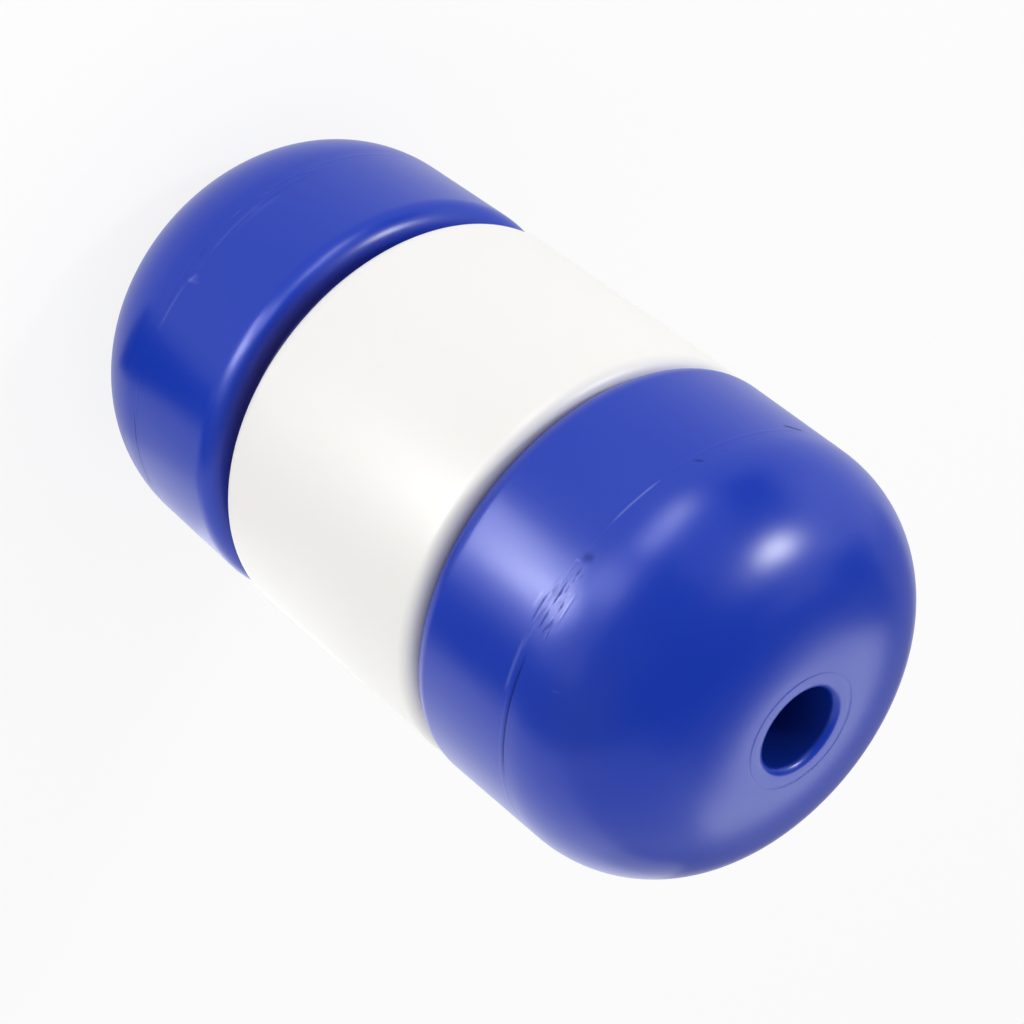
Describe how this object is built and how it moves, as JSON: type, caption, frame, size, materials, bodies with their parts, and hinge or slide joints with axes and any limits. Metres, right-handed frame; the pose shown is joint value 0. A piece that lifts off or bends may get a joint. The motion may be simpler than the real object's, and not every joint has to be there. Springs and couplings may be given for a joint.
{
  "type": "rope float",
  "caption": "Hollow moulded rope float: two domed blue end caps with a rope bore on the axis and a white sleeve round the recessed waist.",
  "frame": {"origin": "centre of the far cap's flat end face, on which the float stands", "axes": "+Z along the rope bore from the far end cap up to the near end cap; X and Y are square to it and the float is round about Z"},
  "size_m": [0.1186, 0.1184, 0.2286],
  "materials": {
    "blue_polyethylene": "satin",
    "white_polyethylene": "satin"
  },
  "bodies": {
    "root": {"far_end_cap": "blue_polyethylene", "near_end_cap": "blue_polyethylene", "centre_sleeve": "white_polyethylene"}
  },
  "joints": []
}
